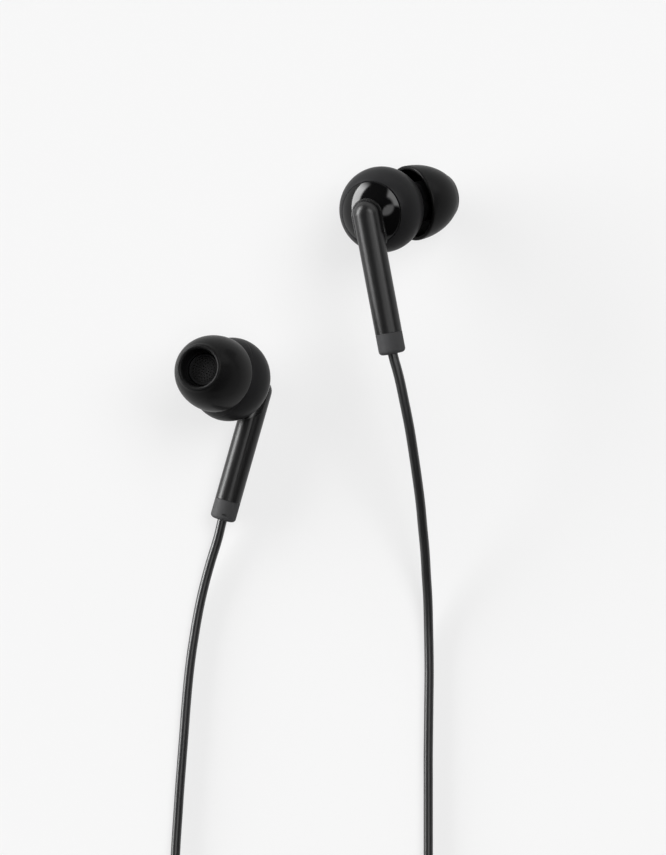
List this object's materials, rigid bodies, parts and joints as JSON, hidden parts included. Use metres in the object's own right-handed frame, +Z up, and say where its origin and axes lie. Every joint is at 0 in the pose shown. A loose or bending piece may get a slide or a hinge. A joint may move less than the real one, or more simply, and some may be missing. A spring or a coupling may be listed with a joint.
{
  "type": "wired in-ear earphones",
  "caption": "In-ear earphones: round satin buds with a glossy domed cap, angled nozzle, silicone tip and stem, on a Y cord with splitter, wound coils and a 3.5 mm stereo plug.",
  "frame": {"origin": "on the surface the set lies on, below the middle of the box of the two buds", "axes": "+X to the right and +Y away from the cords as seen from above, +Z up; the cords run towards -Y"},
  "size_m": [0.05, 0.1945, 0.0199],
  "materials": {
    "gloss_cap": "polished moulded black",
    "satin_shell": "fine satin, soft-touch black",
    "satin_stem": "smooth satin black",
    "gasket": "satin",
    "sleeve_rubber": "matte charcoal",
    "silicone": "matte silicone, black",
    "cord_jacket": "satin elastomer jacket",
    "mesh_steel": "fine perforated steel, coated black",
    "damper_foam": "open foam, black",
    "frame_plastic": "moulded",
    "steel": "nickel plated",
    "magnet": "nickel plated",
    "film": "thin amber film",
    "copper": "lacquered copper wire",
    "cover_metal": "perforated",
    "board": "solder mask",
    "enamelled_wire": "enamelled copper",
    "crimp_brass": "plain",
    "gold_contact": "gold plated, polished",
    "insulator": "moulded black",
    "tie_fabric": "woven hook-and-loop strap"
  },
  "bodies": {
    "headset": {"left_outer_cap": "gloss_cap", "left_stem_gasket": "gasket", "left_back_shell": "satin_shell", "left_front_shell": "satin_shell", "left_nozzle_mesh": "mesh_steel", "left_damper": "damper_foam", "left_driver_frame": "frame_plastic", "left_yoke": "steel", "left_magnet": "magnet", "left_top_plate": "steel", "left_driver_cover": "cover_metal", "left_terminal_board": "board", "left_lead_wires": "enamelled_wire", "left_cord_crimp": "crimp_brass", "left_stem": "satin_stem", "left_stem_sleeve": "sleeve_rubber", "right_outer_cap": "gloss_cap", "right_stem_gasket": "gasket", "right_back_shell": "satin_shell", "right_front_shell": "satin_shell", "right_nozzle_mesh": "mesh_steel", "right_damper": "damper_foam", "right_driver_frame": "frame_plastic", "right_yoke": "steel", "right_magnet": "magnet", "right_top_plate": "steel", "right_driver_cover": "cover_metal", "right_terminal_board": "board", "right_lead_wires": "enamelled_wire", "right_cord_crimp": "crimp_brass", "right_stem": "satin_stem", "right_stem_sleeve": "sleeve_rubber", "left_cord": "cord_jacket", "left_cord_coil": "cord_jacket", "left_coil_tie": "tie_fabric", "right_cord": "cord_jacket", "right_cord_coil": "cord_jacket", "right_coil_tie": "tie_fabric", "splitter_top": "satin_stem", "splitter_bottom": "satin_stem", "splitter_crimp": "crimp_brass", "main_cord": "cord_jacket", "main_cord_coil": "cord_jacket", "main_coil_ties": "tie_fabric", "plug_housing": "satin_stem", "plug_relief": "sleeve_rubber", "plug_sleeve_contact": "gold_contact", "plug_outer_insulator": "insulator", "plug_ring_contact": "gold_contact", "plug_inner_insulator": "insulator", "plug_tip_contact": "gold_contact"},
    "left_tip": {"left_ear_tip": "silicone"},
    "right_tip": {"right_ear_tip": "silicone"},
    "left_cone": {"left_diaphragm": "film", "left_voice_coil": "copper"},
    "right_cone": {"right_diaphragm": "film", "right_voice_coil": "copper"}
  },
  "joints": [
    {"name": "left_tip_pull", "type": "slide", "parent": "headset", "child": "left_tip", "axis": [-0.3051, 0.1086, 0.9461], "range_m": [0, 0.006]},
    {"name": "right_tip_pull", "type": "slide", "parent": "headset", "child": "right_tip", "axis": [0.8086, 0.2461, -0.5345], "range_m": [0, 0.006]},
    {"name": "left_cone_travel", "type": "slide", "parent": "headset", "child": "left_cone", "axis": [-0.7114, 0.2805, 0.6444], "range_m": [-0.00015, 0.00015], "stiffness_N_per_m": 12},
    {"name": "right_cone_travel", "type": "slide", "parent": "headset", "child": "right_cone", "axis": [0.4017, 0.2497, -0.8811], "range_m": [-0.00015, 0.00015], "stiffness_N_per_m": 12}
  ]
}
